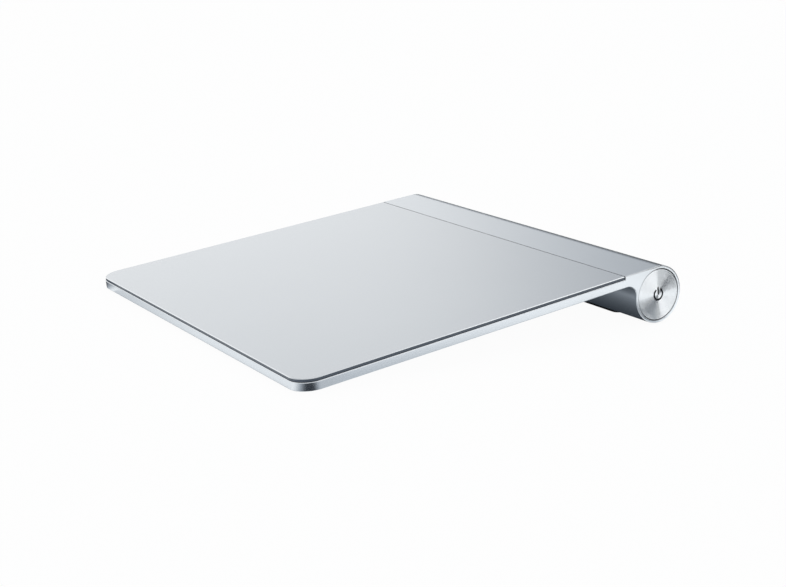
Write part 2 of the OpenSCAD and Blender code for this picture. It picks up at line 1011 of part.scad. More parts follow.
aluminium_body();
touch_glass();
glass_adhesive();
sensor_board();
sensor_chips();
ribbon_socket();
ribbon_cable();
ribbon_clamp();
clamp_screws();
left_switch_bracket();
right_switch_bracket();
bracket_screws();
left_click_switch();
right_click_switch();
left_click_dome();
right_click_dome();
left_foot_plunger();
right_foot_plunger();
left_foot_pad();
right_foot_pad();
rear_foot_strip();
battery_sleeve();
inner_battery();
outer_battery();
positive_contact();
end_carrier();
radio_board();
radio_chip();
radio_shield();
radio_socket();
antenna();
power_switch();
power_dome();
power_button();
negative_spring();
spring_cup();
battery_cap();
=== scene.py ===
import math

import bmesh
import bpy
import numpy as np
from mathutils import Matrix, Vector
from mathutils.geometry import tessellate_polygon


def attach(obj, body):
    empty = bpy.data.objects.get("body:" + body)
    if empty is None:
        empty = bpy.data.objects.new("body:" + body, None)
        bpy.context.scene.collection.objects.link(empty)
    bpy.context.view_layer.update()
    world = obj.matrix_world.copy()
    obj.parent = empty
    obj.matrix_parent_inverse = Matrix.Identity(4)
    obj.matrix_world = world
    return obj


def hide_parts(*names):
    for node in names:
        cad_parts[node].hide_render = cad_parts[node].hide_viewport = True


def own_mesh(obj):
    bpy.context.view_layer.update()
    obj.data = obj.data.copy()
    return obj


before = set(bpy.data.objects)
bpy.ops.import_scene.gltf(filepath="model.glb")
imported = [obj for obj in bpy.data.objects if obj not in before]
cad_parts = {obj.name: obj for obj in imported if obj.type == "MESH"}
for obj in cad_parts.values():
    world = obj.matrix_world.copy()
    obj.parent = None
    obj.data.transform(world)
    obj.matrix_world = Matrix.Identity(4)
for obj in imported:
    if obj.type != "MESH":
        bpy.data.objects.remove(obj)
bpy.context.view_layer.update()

# The body is one aluminium extrusion, plate and battery tube together. The plate is milled out to a
# rim under the glass and drilled for two feet, the ends are faced, every edge is broken with a small
# round, and the whole is bead blasted and clear anodised.
plate_t, tube_y, seam_y, corner_r, fillet_r = 3.5, 121.5, 109.0, 6.2, 3.5
half_w, tube_r, bore_r, skin = 65.65, 8.8, 7.95, 0.003
edge_r, rear_edge_r, bore_edge_r, lip_r, foot_edge = 0.25, 0.12, 0.15, 0.02, 0.1
glass_inset, rim_z, well_z, rim_w, pocket_r = 0.15, -1.0, -2.9, 3.0, 4.0
foot_x, foot_y, foot_drop, foot_hole_r, strip_drop = 50.05, 12.0, 2.3, 5.1, 0.4

# The stance: the plate leans until its feet and the strip under the tube share one plane
stance_run, stance_rise = tube_y - foot_y, tube_r - plate_t - foot_drop
tilt = math.asin((tube_r + strip_drop) / math.hypot(stance_run, stance_rise))
tilt += math.atan2(stance_rise, stance_run)
plate_z = tube_r + strip_drop - tube_y * math.sin(tilt) + tube_r * math.cos(tilt)
axis_reach = tube_y * math.cos(tilt) + tube_r * math.sin(tilt)
front_reach = min(-rim_z * math.sin(tilt), glass_inset * math.cos(tilt))
plate_y = -(front_reach + axis_reach + tube_r) / 2


def stance(points):
    """Plate millimetres to the row frame's metres: a turn by the tilt about x, then a shift."""
    x, y, z = np.moveaxis(np.asarray(points, float), -1, 0)
    back = plate_y + y * math.cos(tilt) - z * math.sin(tilt)
    up = plate_z + y * math.sin(tilt) + z * math.cos(tilt)
    return np.stack([x, back, up], -1) / 1000


def sheet(points, closed=False):
    """A surface from a grid of points: each cell is a four-sided face, and a closed grid's last
    column joins its first."""
    rows, columns = points.shape[:2]
    index = np.arange(rows * columns).reshape(rows, columns)
    if closed:
        index = np.concatenate([index, index[:, :1]], 1)
    cells = [index[:-1, :-1], index[:-1, 1:], index[1:, 1:], index[1:, :-1]]
    return points.reshape(-1, 3), np.stack(cells, -1).reshape(-1, 4).tolist()


def flat(*loops):
    """A flat face inside the first loop, with the other loops as holes in it, cut into
    triangles."""
    triangles = tessellate_polygon([list(map(Vector, loop)) for loop in loops])
    return np.concatenate(loops), [list(corners) for corners in triangles]


def ring(centre, r, z, steps=96):
    """A level circle: the centre plus r times cosine and sine of an even turn."""
    turn = np.linspace(0, 2 * math.pi, steps, endpoint=False)
    x, y = centre[0] + r * np.cos(turn), centre[1] + r * np.sin(turn)
    return np.stack([x, y, np.full(steps, z)], -1)


def rounded_loop(half, front, back, front_r, back_r, steps=24):
    """A plan with four round corners, as points and outward normals: each corner is its centre plus
    r times the normal."""
    quarter = np.radians(np.linspace(0, 90, steps + 1))
    turn = (np.radians([[180], [270], [0], [90]]) + quarter).ravel()
    normals = np.stack([np.cos(turn), np.sin(turn)], -1)
    r = np.repeat([front_r, front_r, back_r, back_r], steps + 1)[:, None]
    centres = [[front_r - half, front + front_r], [half - front_r, front + front_r],
               [half - back_r, back - back_r], [back_r - half, back - back_r]]
    return np.repeat(centres, steps + 1, 0) + r * normals, normals


def carried(path, normals, inset, height):
    """A profile carried along a plan: each row is the path moved in by an inset, at a height, each
    the row's or the point's."""
    plan = path[None] - normals[None] * np.reshape(inset, (len(inset), -1, 1))
    level = np.broadcast_to(np.reshape(height, (len(height), -1, 1)), plan.shape[:2] + (1,))
    return np.concatenate([plan, level], -1)


def welded(name, patches, place=stance, weld=2e-6, sliver=1e-7, crease=38):
    """One mesh from patches of (points, faces, finish): coinciding points join, normals turn
    outwards, sharp edges stay sharp."""
    starts = np.cumsum([0] + [len(points) for points, *_ in patches])
    points = place(np.concatenate([points for points, *_ in patches]))
    faces = [[corner + start for corner in face]
             for start, patch in zip(starts, patches) for face in patch[1]]
    finishes = np.concatenate([
        np.full(len(patch[1]), patch[2] if len(patch) > 2 else 0) for patch in patches])
    mesh = bpy.data.meshes.new(name)
    mesh.from_pydata(points.tolist(), [], faces)
    mesh.polygons.foreach_set("material_index", finishes.astype(np.int32))
    work = bmesh.new()
    work.from_mesh(mesh)
    bmesh.ops.remove_doubles(work, verts=work.verts, dist=weld)
    bmesh.ops.dissolve_degenerate(work, edges=work.edges, dist=sliver)
    bmesh.ops.recalc_face_normals(work, faces=work.faces)
    work.to_mesh(mesh)
    work.free()
    mesh.shade_smooth()
    mesh.set_sharp_from_angle(angle=math.radians(crease))
    piece = bpy.data.objects.new(name, mesh)
    bpy.context.scene.collection.objects.link(piece)
    even = piece.modifiers.new("even_normals", "WEIGHTED_NORMAL")
    even.weight, even.keep_sharp = 100, True
    return piece


# Edge round: in by r(1 - sin a) and down or up by r(1 - cos a) as a runs from 0 to 90 degrees
round_a = np.radians(np.linspace(0, 90, 6))
round_in, round_off = 1 - np.sin(round_a), 1 - np.cos(round_a)

# Plate: the wall's profile carried round the front and both sides
plan, plan_out = rounded_loop(half_w, 0, seam_y, corner_r, corner_r)
front_half = slice(len(plan) // 2)
plan = np.concatenate([[[-half_w, seam_y]], plan[front_half], [[half_w, seam_y]]])
plan_out = np.concatenate([[[-1, 0]], plan_out[front_half], [[1, 0]]])
wall = carried(
    plan, plan_out, edge_r * np.concatenate([round_in, round_in[::-1]]),
    np.concatenate([edge_r * round_off - plate_t, rim_z - edge_r * round_off[::-1]]))
pocket, _ = rounded_loop(half_w - rim_w, rim_w, seam_y - rim_w, pocket_r, pocket_r)
pocket_wall = carried(pocket, pocket * 0, [0, 0], [rim_z, well_z])
feet = [(-foot_x, foot_y), (foot_x, foot_y)]
foot_walls = [np.stack([ring(foot, foot_hole_r + foot_edge, -plate_t),
                        ring(foot, foot_hole_r, foot_edge - plate_t),
                        ring(foot, foot_hole_r, well_z)]) for foot in feet]

# Tube: the rear section's outline with its inward normals, carried along x and rounded into both
# ends. The barrel is a skin smaller than its size, so that its facets stay in the real one's box.
under, top = 1.5 * math.pi, 2.5 * math.pi
fillet_y = tube_y - math.sqrt((tube_r + fillet_r) ** 2 - (tube_r - plate_t - fillet_r) ** 2)
fillet_z = -plate_t - fillet_r
meet = math.atan2(tube_y - fillet_y, -tube_r - fillet_z)
hollow = np.linspace(0, meet, 25)
barrel = np.linspace(under - meet, top, 145)[1:]
lip = np.linspace(0, math.pi / 2, 7)
hollow_in = np.stack([np.sin(hollow), np.cos(hollow)], -1)
barrel_out = np.stack([np.cos(barrel), np.sin(barrel)], -1)
lip_out = np.stack([-np.sin(lip), np.cos(lip)], -1)
lip_in = np.broadcast_to([1.0, -1.0], lip_out.shape)
outline = np.concatenate([
    [[seam_y, -plate_t]], [fillet_y, fillet_z] + fillet_r * hollow_in,
    [tube_y, -tube_r] + (tube_r - skin) * barrel_out,
    [seam_y + lip_r, -lip_r] + lip_r * lip_out, [[seam_y, rim_z]]])
inward = np.concatenate([[[0, 1]], hollow_in, -barrel_out, lip_in, [[1, 0]]])

# The round at the barrel's ends is finer than at the web, and runs out into it at both sides
past_web = np.clip(3 * np.sin(0.5 * (barrel - under)), 0, 1)
past_seam = np.clip((top - barrel) * 8, 0, 1)
end_r = np.full(len(outline), edge_r)
end_r[1 + len(hollow):-1 - len(lip)] += (rear_edge_r - edge_r) * past_web * past_seam
end_x = np.concatenate([half_w - np.outer(round_in[::-1], end_r), np.outer(round_in, end_r) - half_w])
end_off = np.outer(np.concatenate([round_off[::-1], round_off]), end_r)
section = outline[None] + inward[None] * end_off[:, :, None]
tube = np.concatenate([end_x[:, :, None], section], -1)
bore_x = np.concatenate([half_w - bore_edge_r * round_in[::-1], bore_edge_r * round_in - half_w])
bore_off = bore_r + bore_edge_r * np.concatenate([round_off[::-1], round_off])
spin = np.linspace(0, 2 * math.pi, 145)[:-1]
bore = np.stack(np.broadcast_arrays(
    bore_x[:, None], tube_y + bore_off[:, None] * np.cos(spin),
    bore_off[:, None] * np.sin(spin) - tube_r), -1)
rounds, seam_step = len(round_a), tube[:, -2:]
end_faces, corner_faces = [], []
for rows, hole, column in ((tube, bore, -1), (tube[::-1], bore[::-1], 0)):
    corner = wall[rounds:, column]
    end_faces.append(flat(np.concatenate([rows[0], corner[:1]]), hole[0]))
    corner_loop = np.concatenate([corner, rows[rounds - 2::-1, -1]])
    corner_faces.append((corner_loop, [list(range(len(corner_loop)))]))

body = welded("aluminium_shell", [
    sheet(wall), sheet(pocket_wall, True), sheet(tube[:, :-1]), sheet(bore, True),
    sheet(seam_step[:rounds]), (*sheet(seam_step[rounds - 1:rounds + 1]), 1),
    sheet(seam_step[rounds:]),
    *(sheet(foot, True) for foot in foot_walls),
    flat(wall[0], *(foot[0] for foot in foot_walls)),
    flat(wall[-1], pocket_wall[0]),
    flat(pocket_wall[1], *(foot[2] for foot in foot_walls)),
    *end_faces, *corner_faces])


class Tone:
    """A shader value: arithmetic on it adds Math nodes, and node() adds any other node."""

    def __init__(self, tree, socket=None):
        self.tree, self.socket = tree, socket

    def node(self, kind, settings=None, sockets=None, out=0):
        """A node of a kind, with its settings, then its sockets' values or links. A ramp's stops
        are a setting."""
        made = self.tree.nodes.new("ShaderNode" + kind)
        for key, value in (settings or {}).items():
            if key != "stops":
                setattr(made, key, value)
                continue
            ramp = made.color_ramp.elements
            while len(ramp) < len(value):
                ramp.new(0.5)
            for stop, (at, colour) in zip(ramp, value):
                stop.position, stop.color = at, colour
        for key, value in (sockets or {}).items():
            if isinstance(value, Tone):
                self.tree.links.new(value.socket, made.inputs[key])
            else:
                made.inputs[key].default_value = value
        return Tone(self.tree, made.outputs[out])

    def math(self, operation, *values):
        return self.node("Math", {"operation": operation}, dict(enumerate(values)))

    def __add__(self, other):
        return self.math("ADD", self, other)

    def __sub__(self, other):
        return self.math("SUBTRACT", self, other)

    def __rsub__(self, other):
        return self.math("SUBTRACT", other, self)

    def __mul__(self, other):
        return self.math("MULTIPLY", self, other)

    __radd__, __rmul__ = __add__, __mul__

    def step(self, low, high):
        """0 below low and 1 above high, with a smooth rise between."""
        return self.node("MapRange", {"interpolation_type": "SMOOTHSTEP"}, {0: self, 1: low, 2: high})

    def dot(self, direction):
        return self.node("VectorMath", {"operation": "DOT_PRODUCT"}, {0: self, 1: direction}, "Value")

    def grain(self, scale, detail=2, stretch=(1, 1, 1)):
        """Noise with a given number of lumps in a metre, drawn out where stretch is small."""
        drawn = self.node("VectorMath", {"operation": "MULTIPLY"}, {0: self, 1: stretch})
        return self.node("TexNoise", {}, {"Vector": drawn, "Scale": scale, "Detail": detail})

    def between(self, first, second):
        """A colour between two, by this share."""
        return self.node("Mix", {"data_type": "RGBA"}, {0: self, 6: first, 7: second}, 2)

    def bumps(self, depth, strength=0.5):
        return self.node("Bump", {}, {"Height": self, "Distance": depth, "Strength": strength})


def finish(name, fixed, varied):
    """A material: fixed values go on the surface's own sockets, varied ones come from expressions
    of the place on the piece."""
    made = bpy.data.materials.new(name)
    made.use_nodes = True
    surface = made.node_tree.nodes["Principled BSDF"]
    place = Tone(made.node_tree).node("TexCoord", out="Object")
    for key, value in fixed.items():
        surface.inputs[key].default_value = value
    for key, value in varied(place).items():
        made.node_tree.links.new(value.socket, surface.inputs[key])
    return made


def blasted(place):
    """Bead blasting: dimples a tenth of a millimetre wide, and a faint cloudiness of the anodised
    layer."""
    dimples, clouds = place.grain(9000), place.grain(60)
    return {"Base Color": clouds.between((0.81, 0.83, 0.85, 1), (0.84, 0.86, 0.88, 1)),
            "Roughness": 0.23 + 0.05 * dimples,
            "Normal": dimples.bumps(2e-6)}


def bonding(place):
    """Black bonding film with a faint pebbled face."""
    pebbles = place.grain(3500)
    return {"Base Color": pebbles.between((0.010, 0.010, 0.012, 1), (0.020, 0.020, 0.023, 1)),
            "Roughness": 0.5 + 0.2 * pebbles,
            "Normal": pebbles.bumps(4e-6)}


bonding_film = finish("bonding_film", {}, bonding)
body.data.materials.append(finish("blasted_aluminium", {"Metallic": 1}, blasted))
body.data.materials.append(bonding_film)
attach(body, "chassis")
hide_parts("aluminium_body")

# Steel pieces in the plate: a strap over each foot's well and a bar over the ribbon, stamped from
# sheet and held by countersunk screws. Each click switch is a film base under its strap, with a dome
# of spring steel that the foot presses flat.
dome_d, dome_h, dome_t, switch_z = 5.6, 0.35, 0.1, -2.15


def dress(material, *names):
    """Gives CAD nodes a finish."""
    for name in names:
        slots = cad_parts[name].data.materials
        slots.clear()
        slots.append(material)


def rolled(place):
    """Rolled sheet: long fine lines along x, and uneven gloss."""
    lines, clouds = place.grain(6000, stretch=(0.03, 1, 1)), place.grain(400)
    return {"Base Color": lines.between((0.50, 0.51, 0.53, 1), (0.64, 0.65, 0.67, 1)),
            "Roughness": 0.24 + 0.16 * clouds,
            "Normal": lines.bumps(2e-6)}


def plated(place):
    """Zinc plating: a slightly blue grey with small bright spots."""
    spots = place.grain(2500, 3)
    return {"Base Color": spots.between((0.42, 0.44, 0.47, 1), (0.60, 0.62, 0.65, 1)),
            "Roughness": 0.22 + 0.2 * spots}


def sprung(place):
    """Polished spring steel with a faint straw tint from its hardening."""
    tint = place.grain(900)
    return {"Base Color": tint.between((0.62, 0.62, 0.62, 1), (0.66, 0.63, 0.57, 1)),
            "Roughness": 0.14 + 0.08 * tint}


def polyimide(place):
    """Amber film with copper tracks half a millimetre apart showing through."""
    x = place.dot((1, 0, 0))
    tracks = x.math("SINE", x * (2 * math.pi / 0.0005)).step(-0.1, 0.3)
    return {"Base Color": tracks.between((0.60, 0.33, 0.07, 1), (0.76, 0.50, 0.19, 1)),
            "Roughness": 0.25 + 0.15 * place.grain(1500)}


dress(finish("rolled_steel", {"Metallic": 1}, rolled),
      "left_switch_bracket", "right_switch_bracket", "ribbon_clamp")
dress(finish("plated_steel", {"Metallic": 1}, plated), "bracket_screws", "clamp_screws")
spring_steel = finish("spring_steel", {"Metallic": 1}, sprung)
amber = finish("amber_film", {"IOR": 1.6}, polyimide)
dress(amber, "left_click_switch", "right_click_switch", "ribbon_cable")


def bulge(steps=96, rings=10):
    """Part of a hollow ball that stands on a plane: out from the pole on the outer ball, and back
    on the inner, round a full turn."""
    ball = (dome_d ** 2 / 4 + dome_h ** 2) / (2 * dome_h)
    share, balls = np.linspace(0, 1, rings), np.repeat([ball, ball - dome_t], rings)
    r = np.concatenate([share, share[::-1]]) * np.sqrt(balls ** 2 - (ball - dome_h) ** 2)
    turn = np.linspace(0, 2 * math.pi, steps, endpoint=False)
    rise = dome_h - ball + np.sqrt(balls ** 2 - r ** 2)
    return np.stack(np.broadcast_arrays(
        r[:, None] * np.cos(turn), r[:, None] * np.sin(turn), rise[:, None]), -1)


def sprung_dome(name, node, points, base, place):
    """A dome in spring steel, standing on its base in place of its CAD node."""
    piece = welded(name, [sheet(points, True)], place)
    piece.data.materials.append(spring_steel)
    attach(piece, "chassis")
    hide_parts(node)
    tuple(place(np.array(base)))
    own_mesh(piece)


for side, (x, y) in zip(("left", "right"), feet):
    sprung_dome(side + "_snap_dome", side + "_click_dome",
                [x, y, switch_z] + bulge() * [1, 1, -1], (x, y, switch_z), stance)

# The feet are black moulded stems, kept in the plate by a flange, each with a rubber pad bonded under
# it and cut level. A rubber strip is bonded into a groove under the tube.


def moulded(dark, light):
    """Moulded plastic: a spark-eroded grain and a slight flow mottle between two shades."""
    def varied(place):
        grain, flow = place.grain(5000, 3), place.grain(250)
        return {"Base Color": flow.between(dark, light),
                "Roughness": 0.42 + 0.18 * grain,
                "Normal": grain.bumps(6e-6)}
    return varied


def rubber(place):
    """Dull rubber with a fine skin and a dusting of talc."""
    skin, talc = place.grain(7000, 3), place.grain(700, 4)
    dusted = talc.step(0.45, 0.8)
    return {"Base Color": dusted.between((0.030, 0.030, 0.032, 1), (0.060, 0.060, 0.063, 1)),
            "Roughness": 0.72 + 0.2 * skin,
            "Normal": skin.bumps(1.2e-5)}


black_plastic = finish(
    "black_plastic", {}, moulded((0.020, 0.020, 0.022, 1), (0.030, 0.030, 0.033, 1)))
black_rubber = finish("black_rubber", {"Specular IOR Level": 0.3}, rubber)
dress(black_plastic, "left_foot_plunger", "right_foot_plunger")
dress(black_rubber, "left_foot_pad", "right_foot_pad", "rear_foot_strip")

# The sensor board lies in the plate's pocket with its chips and a socket underneath. It is a printed
# board with a grid of electrodes, and a film bonds it and the rim to the glass.


def solder_mask(pitch):
    """Green mask over copper: electrodes as a grid of diamonds of a given pitch, paler over the
    copper."""
    def varied(place):
        across = place.dot((1, 0, 0)) * (math.pi / pitch)
        along = place.dot((0, 1, 0)) * (math.pi / pitch)
        wave = across.math("COSINE", across) + along.math("COSINE", along)
        copper = wave.math("ABSOLUTE", wave).step(0.05, 0.12)
        mottle = place.grain(800)
        return {"Base Color": copper.between((0.010, 0.060, 0.030, 1), (0.022, 0.130, 0.062, 1)),
                "Roughness": 0.28 + 0.12 * mottle,
                "Normal": copper.bumps(2e-5)}
    return varied


dress(finish("sensor_mask", {"Coat Weight": 0.3}, solder_mask(0.005)), "sensor_board")
chip_black = finish("chip_black", {}, moulded((0.012, 0.012, 0.013, 1), (0.022, 0.022, 0.024, 1)))
dress(chip_black, "sensor_chips", "radio_chip", "power_switch")
socket_cream = finish("socket_cream", {}, moulded((0.55, 0.50, 0.38, 1), (0.62, 0.57, 0.45, 1)))
dress(socket_cream, "ribbon_socket", "radio_socket")
dress(bonding_film, "glass_adhesive")

# The touch surface is a sheet of glass, etched matt on top and printed silver grey underneath. It is
# bonded on the rim with black film, so its ground edge looks dark under a bright bevel.
glass_t, seam_gap, bevel, rear_bevel, foot_bevel, rear_r = 0.9, 0.27, 0.2, 0.03, 0.06, 0.15
glass_plan, glass_out = rounded_loop(
    half_w - glass_inset, glass_inset, seam_y - seam_gap, corner_r - glass_inset, rear_r)
rim_bevel = bevel + (rear_bevel - bevel) * np.clip(glass_out[:, 1], 0, 1)
glass_edge = carried(glass_plan, glass_out, [[foot_bevel], [0], [0]] + rim_bevel * 0,
                     [[-glass_t], [foot_bevel - glass_t], [0]] - np.outer([0, 0, 1], rim_bevel))
glass_bevel = carried(glass_plan, glass_out,
                      np.outer([0, 0.5, 1], rim_bevel), np.outer([-1, -0.4, 0], rim_bevel))
glass = welded("touch_surface", [
    (*sheet(glass_edge, True), 1), (*flat(glass_edge[0]), 1),
    (*sheet(glass_bevel, True), 0), (*flat(glass_bevel[-1]), 0)])


def etched(place):
    """Acid etching: a very fine even grain over the silver print."""
    pits, clouds = place.grain(14000), place.grain(35)
    return {"Base Color": clouds.between((0.785, 0.80, 0.815, 1), (0.80, 0.815, 0.83, 1)),
            "Roughness": 0.235 + 0.05 * pits,
            "Normal": pits.bumps(1e-6)}


def ground(place):
    """A ground glass edge: fine lines along the edge over the dark film behind it."""
    lines = place.grain(4000, stretch=(0.05, 0.05, 1))
    return {"Base Color": lines.between((0.064, 0.081, 0.108, 1), (0.104, 0.124, 0.154, 1)),
            "Roughness": 0.22 + 0.15 * lines}


glass.data.materials.append(finish("etched_glass", {"Metallic": 1}, etched))
glass.data.materials.append(finish("glass_edge", {"Metallic": 0}, ground))
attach(glass, "chassis")
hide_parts("touch_glass")

# In the tube two cells lie in a rolled film sleeve. Each cell is a steel can in a printed jacket,
# bare at its rim, with its button at the right.
cell_first, cell_l = -57.0, 50.5
band_from, band_to, crimp_from, crimp_to = (36, 36.3), (48.2, 48.4), (0.8, 1.0), (48.4, 48.6)


def jacket(place):
    """A plain two-colour jacket by the place along each cell: a dark body, a copper band, and a
    bare crimped end."""
    along = place.dot((1000, 0, 0)) - cell_first
    cell = along.math("MODULO", along, cell_l)
    band = cell.step(*band_from) * (1 - cell.step(*band_to))
    bare = 1 - cell.step(*crimp_from) * (1 - cell.step(*crimp_to))
    print_grain = place.grain(3000)
    colour = band.between((0.030, 0.075, 0.050, 1), (0.52, 0.27, 0.12, 1))
    return {"Base Color": bare.between(colour, (0.62, 0.63, 0.64, 1)),
            "Metallic": 0.55 + 0.45 * bare,
            "Roughness": 0.26 + 0.1 * print_grain}


def rolled_film(place):
    """Cream film, with faint lines round the roll."""
    lines = place.grain(4000, stretch=(1, 0.05, 0.05))
    return {"Base Color": lines.between((0.66, 0.63, 0.54, 1), (0.74, 0.71, 0.63, 1)),
            "Roughness": 0.4 + 0.15 * lines}


dress(finish("cell_jacket", {"Coat Weight": 0.2}, jacket), "inner_battery", "outer_battery")
dress(finish("sleeve_film", {}, rolled_film), "battery_sleeve")

# At the right end a moulded carrier holds the gold-plated contact, the radio on its board under a tin
# can, the aerial strip, and the power switch with its own snap dome.
power_dome_x = 62.1


def in_tube(points):
    """Places from the tube's axis to the plate's, then to the stance."""
    return stance(points + np.array([0, tube_y, -tube_r]))


def gilt(place):
    """Gold plate on stamped brass."""
    lines = place.grain(5000, stretch=(1, 0.05, 1))
    return {"Base Color": lines.between((0.70, 0.48, 0.16, 1), (0.80, 0.58, 0.24, 1)),
            "Roughness": 0.2 + 0.14 * lines}


def tinned(place):
    """Bright tin with a frosting of crystals."""
    crystals = place.node("TexVoronoi", {}, {"Vector": place, "Scale": 1400}, "Distance")
    return {"Base Color": crystals.between((0.66, 0.66, 0.65, 1), (0.54, 0.55, 0.56, 1)),
            "Roughness": 0.2 + 0.2 * crystals}


tin = finish("tin_plate", {"Metallic": 1}, tinned)
dress(finish("gold_plate", {"Metallic": 1}, gilt), "positive_contact", "antenna")
carrier_plastic = finish(
    "carrier_plastic", {}, moulded((0.030, 0.032, 0.036, 1), (0.042, 0.044, 0.050, 1)))
dress(carrier_plastic, "end_carrier")
dress(finish("radio_mask", {"Coat Weight": 0.3}, solder_mask(0.0012)), "radio_board")
dress(tin, "radio_shield", "spring_cup")
sprung_dome("power_snap_dome", "power_dome",
            [power_dome_x, 0, 0] + bulge()[:, :, [2, 1, 0]] * [1, 1, -1],
            (power_dome_x, 0, 0), in_tube)

# The power button is a turned aluminium disc set in a black moulded cup, with a post for the switch
# and two hooked legs that hold it in the tube. Its face is spun, and the power sign is engraved and
# filled with lacquer.
button_x, button_t, button_r, disc_r, button_edge, cup_sunk = 65.57, 1.32, 7.85, 7.7, 0.08, 0.24
skirt_x, skirt_t, post_r, post_x = 62.25, 0.8, 1.2, 62.5
hook_x, hook_l, hook_reach, leg_in, leg_t, leg_w, leg_z = 59.55, 0.8, 0.5, 4.4, 1.2, 2.4, 2.0
sign_r, sign_line, sign_gap, bar_low, bar_high = 1.66, 0.58, math.radians(36), 0.15, 2.0
sign_deep, sign_slope, face_deep, fine_r = 0.12, 0.08, 0.2, 2.6


def turned(profile, steps=288):
    """A turned piece: each profile point (place along the axis, radius) swept through a full turn
    about the axis."""
    along, r = np.asarray(profile, float).T[:, :, None]
    turn = np.linspace(0, 2 * math.pi, steps, endpoint=False)
    return np.stack(np.broadcast_arrays(along, r * np.cos(turn), r * np.sin(turn)), -1)


def sign_distance(y, z):
    """How far a place is outside the power sign's lines: an open ring with round ends, and a bar
    through its gap."""
    off_top = np.abs(np.arctan2(y, z))
    ends = np.hypot(np.abs(y) - sign_r * math.sin(sign_gap), z - sign_r * math.cos(sign_gap))
    loop = np.where(off_top > sign_gap, np.abs(np.hypot(y, z) - sign_r), ends)
    bar = np.hypot(y, z - np.clip(z, bar_low, bar_high))
    return np.minimum(loop, bar) - sign_line / 2


def prism(outline, low, high):
    """A block with the outline's plan between two heights."""
    loop = np.stack([np.column_stack([outline, np.full(len(outline), z)]) for z in (low, high)])
    return [sheet(loop, True), flat(loop[0]), flat(loop[1])]


# Face: rings close enough to draw the sign at the middle, and wider ones round it
face_r = np.concatenate([
    np.linspace(0, fine_r, 88), np.linspace(fine_r, disc_r - button_edge, 12)[1:]])
back_x, cup_x = button_x - button_t, button_x - cup_sunk
disc = turned(np.concatenate([
    np.column_stack([np.full(len(face_r), button_x), face_r]),
    np.column_stack([
        button_x - button_edge * round_off, disc_r - button_edge * round_in])[-2::-1],
    [[cup_x, disc_r]]]))
far = sign_distance(disc[:, :, 1], disc[:, :, 2])
sunk = np.clip(0.5 - far / sign_slope, 0, 1) * (disc[:, :, 0] > button_x - 1e-6)
disc[:, :, 0] -= sign_deep * sunk * sunk * (3 - 2 * sunk)
cup = turned([[cup_x, disc_r], [cup_x, button_r], [skirt_x, button_r], [skirt_x, button_r - skirt_t],
              [back_x, button_r - skirt_t], [back_x, post_r], [post_x, post_r], [post_x, 0]])
leg_out, hook_out, hook_end = leg_in + leg_t, leg_in + leg_t + hook_reach, hook_x - hook_l
leg = np.array([[hook_end, leg_in], [back_x, leg_in], [back_x, leg_out],
                [hook_x, leg_out], [hook_x, hook_out], [hook_end, hook_out]])
legs = [patch for outline in (leg, leg * [1, -1])
        for patch in prism(outline, leg_z - leg_w / 2, leg_z + leg_w / 2)]
power = welded("spun_button", [
    sheet(disc, True), (*sheet(cup, True), 1), *((*patch, 1) for patch in legs)], in_tube)

# The lacquer follows the sign as a value on each point of the face
spots = np.empty(len(power.data.vertices) * 3)
power.data.vertices.foreach_get("co", spots)
spots = spots.reshape(-1, 3)
axis_y, axis_z = in_tube(np.zeros(3))[1:]
lean = np.array([[math.cos(tilt), math.sin(tilt)], [-math.sin(tilt), math.cos(tilt)]])
flat_y, flat_z = lean @ ((spots[:, 1:] - [axis_y, axis_z]).T * 1000)
inlay = power.data.attributes.new("inlay", "FLOAT", "POINT")
filled = np.clip(0.5 - sign_distance(flat_y, flat_z) / sign_slope, 0, 1)
filled = filled * (spots[:, 0] * 1000 > button_x - face_deep)
inlay.data.foreach_set("value", filled.astype(np.float32))


def spun(place, wave=0.00011, sweep=0.55):
    """Turning marks: the normal rocks along the radius from one groove to the next, so light
    spreads across the grooves."""
    centred = place.node("VectorMath", {"operation": "SUBTRACT"}, {0: place, 1: (0, axis_y, axis_z)})
    spoke = place.node("VectorMath", {"operation": "MULTIPLY"}, {0: centred, 1: (0, 1, 1)})
    radius = spoke.node("VectorMath", {"operation": "LENGTH"}, {0: spoke}, "Value")
    uneven = 0.5 + radius.node("TexNoise", {"noise_dimensions": "1D"}, {"W": radius, "Scale": 3000})
    rock = radius.math("SINE", radius * (2 * math.pi / wave)) * uneven * sweep
    outwards = spoke.node("VectorMath", {"operation": "NORMALIZE"}, {0: spoke})
    leaning = outwards.node("VectorMath", {"operation": "SCALE"}, {0: outwards, "Scale": rock})
    to_world = {"vector_type": "VECTOR", "convert_from": "OBJECT", "convert_to": "WORLD"}
    leaning = leaning.node("VectorTransform", to_world, {0: leaning})
    normal = place.node("NewGeometry", out="Normal")
    turned_normal = place.node("VectorMath", {"operation": "ADD"}, {0: normal, 1: leaning})
    return radius, place.node("VectorMath", {"operation": "NORMALIZE"}, {0: turned_normal})


def spun_sign(place):
    """The spun face, with dark lacquer in the engraved sign."""
    _, normal = spun(place)
    lacquer = place.node("Attribute", {"attribute_name": "inlay"}, out="Fac").step(0.2, 0.5)
    return {"Base Color": lacquer.between((0.92, 0.93, 0.94, 1), (0.012, 0.014, 0.018, 1)),
            "Metallic": 1 - lacquer,
            "Roughness": 0.2 + 0.15 * lacquer,
            "Normal": normal}


power.data.materials.append(finish("spun_aluminium", {"Specular IOR Level": 0.1}, spun_sign))
power.data.materials.append(black_plastic)
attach(power, "power_key")
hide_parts("power_button")

